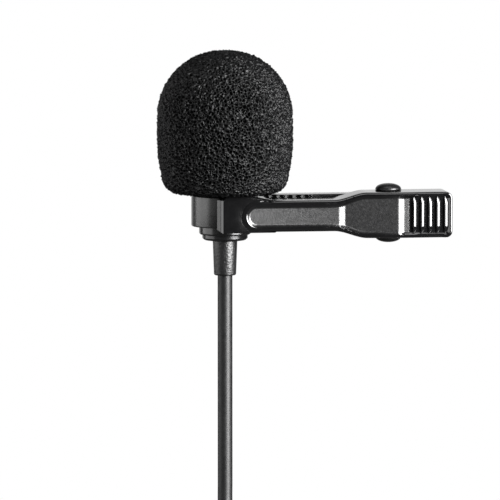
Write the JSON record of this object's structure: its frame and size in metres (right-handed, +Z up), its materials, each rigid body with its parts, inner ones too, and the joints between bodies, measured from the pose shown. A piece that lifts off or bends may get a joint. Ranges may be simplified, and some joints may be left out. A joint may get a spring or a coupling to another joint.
{
  "type": "lavalier microphone",
  "caption": "Clip-on lavalier microphone: a foam-covered barrel in the collar of a sprung, toothed clip, with a strain relief and a thin cable to a jack plug.",
  "frame": {"origin": "the point that the closed jaws grip, in the middle of the toothed run and on the gripping plane", "axes": "+X along the clip from the gripped point to the ribbed grip, +Z up along the microphone's barrel, -Y out of the front jaw's face"},
  "size_m": [0.0472, 0.0219, 0.1892],
  "materials": {
    "foam": "open-cell foam, matt",
    "dark_metal": "satin black coating",
    "steel": "bright drawn wire and woven mesh",
    "rubber": "matt",
    "felt": "thin pressed felt",
    "can_metal": "drawn, satin",
    "brass": "satin",
    "film": "thin metallised film",
    "white_plastic": "natural moulded",
    "board": "solder-masked laminate",
    "chip": "moulded",
    "wire": "insulated wire",
    "boot": "spark-textured gloss",
    "clip_plastic": "satin moulded nylon",
    "rivet_metal": "black oxide",
    "cable_jacket": "satin extruded jacket",
    "tie": "woven hook and loop strap",
    "gold": "gold-plated, polished"
  },
  "bodies": {
    "clip_front": {"front_jaw": "clip_plastic", "pivot_rivet": "rivet_metal", "torsion_spring": "steel"},
    "clip_rear": {"rear_jaw": "clip_plastic"},
    "windscreen": {"foam_windscreen": "foam"},
    "microphone": {"grille_cap": "dark_metal", "grille_mesh": "steel", "mic_barrel": "dark_metal", "capsule_sleeve": "rubber", "capsule_felt": "felt", "capsule_can": "can_metal", "diaphragm_ring": "brass", "diaphragm": "film", "spacer_ring": "white_plastic", "backplate": "brass", "backplate_holder": "white_plastic", "capsule_board": "board", "fet_chip": "chip", "signal_wires": "wire", "end_cap": "dark_metal", "cable_ferrule": "brass", "strain_relief": "boot", "cable": "cable_jacket", "cable_hank": "cable_jacket", "hank_tie": "tie", "cable_tail": "cable_jacket", "plug_boot": "boot", "plug_shell": "clip_plastic", "plug_sleeve": "gold", "plug_ring_lower": "gold", "plug_ring_upper": "gold", "plug_tip": "gold", "plug_insulators": "white_plastic"}
  },
  "joints": [
    {"name": "jaw_open", "type": "hinge", "parent": "clip_front", "child": "clip_rear", "pos_m": [0.016, -0.0015, 0], "axis": [0, 0, -1], "range_deg": [0, 20], "stiffness_Nm_per_rad": 0.03, "springref_deg": -57.3, "deforming": ["torsion_spring"]},
    {"name": "mic_swivel", "type": "hinge", "parent": "clip_front", "child": "microphone", "pos_m": [-0.01, 0.0012, 0], "axis": [0, 0, 1], "continuous": true},
    {"name": "windscreen_pull", "type": "slide", "parent": "microphone", "child": "windscreen", "axis": [0, 0, 1], "range_m": [0, 0.012]}
  ]
}
